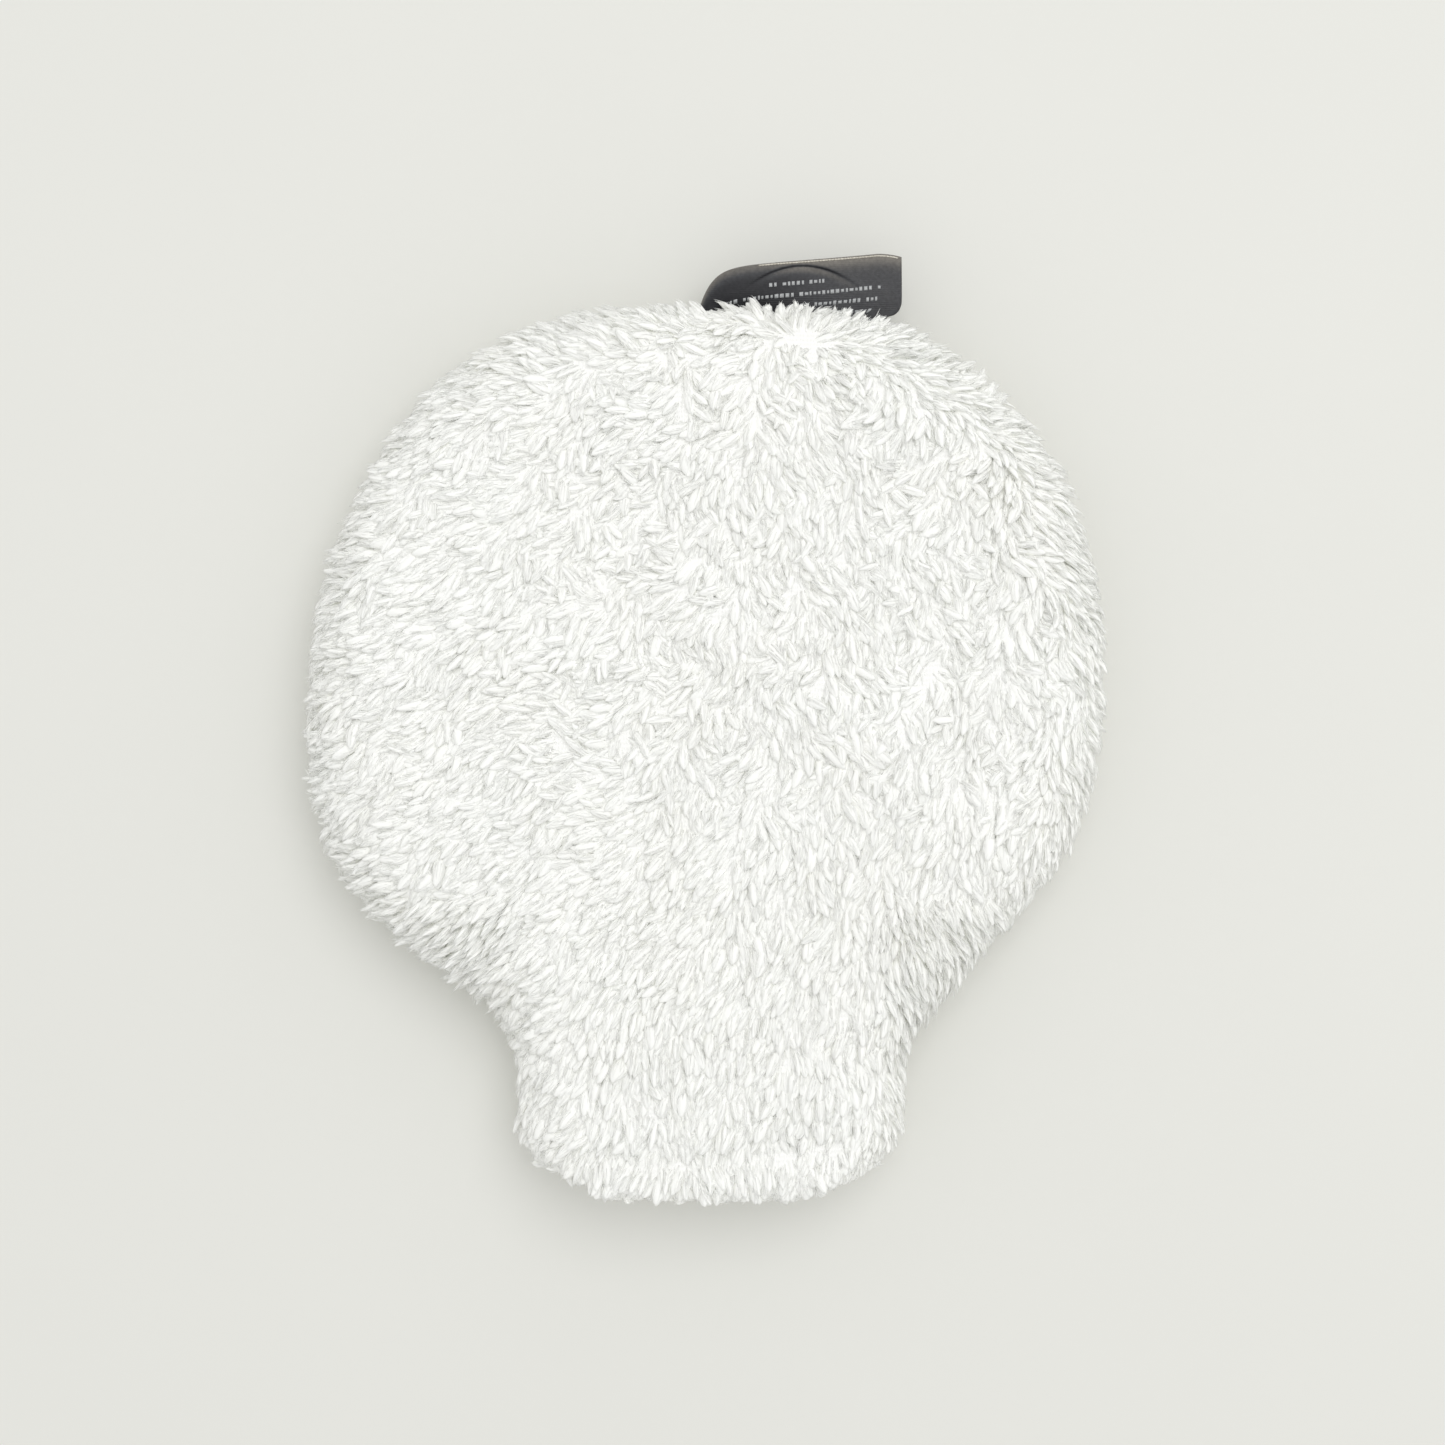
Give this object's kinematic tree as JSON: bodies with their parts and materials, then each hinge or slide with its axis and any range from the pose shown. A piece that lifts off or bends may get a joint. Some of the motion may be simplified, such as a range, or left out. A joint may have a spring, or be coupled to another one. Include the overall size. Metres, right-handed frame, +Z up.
{
  "type": "wash mitt",
  "caption": "Round plush wash mitt with a light-bulb outline, a lined hand pocket open at an elasticated cuff, and a folded ribbon label at the fingertip seam.",
  "frame": {"origin": "below the centre of the whole outline, on the surface that the mitt lies on", "axes": "+X across the mitt, towards the label's side; +Y from the open mouth to the fingertip end; +Z up, out of the front panel"},
  "size_m": [0.231, 0.278, 0.038],
  "materials": {
    "plush": "matte",
    "sponge": "matte",
    "lining": "matte",
    "elastic": "matte",
    "thread": "satin",
    "tape": "matte",
    "label_ribbon": "satin"
  },
  "bodies": {
    "back_half": {"back_plush_panel": "plush", "back_foam_pad": "sponge", "back_lining": "lining", "cuff_elastic": "elastic", "elastic_join_stitching": "thread", "main_seam_thread": "thread", "lining_seam_thread": "thread", "lining_tack_tape": "tape", "back_hem_stitching": "thread", "care_label_tail": "label_ribbon", "label_stitching": "thread"},
    "front_half": {"front_plush_panel": "plush", "front_foam_pad": "sponge", "front_lining": "lining", "front_hem_stitching": "thread"},
    "label": {"care_label": "label_ribbon"}
  },
  "joints": [
    {"name": "pocket_opening", "type": "hinge", "parent": "back_half", "child": "front_half", "pos_m": [0, 0.1265, 0.019], "axis": [-1, 0, 0], "range_deg": [0, 6], "deforming": ["cuff_elastic"]},
    {"name": "label_flap", "type": "hinge", "parent": "back_half", "child": "label", "pos_m": [0.02712, 0.12379, 0.019], "axis": [0.9723, -0.2338, 0], "range_deg": [-50, 80]}
  ]
}
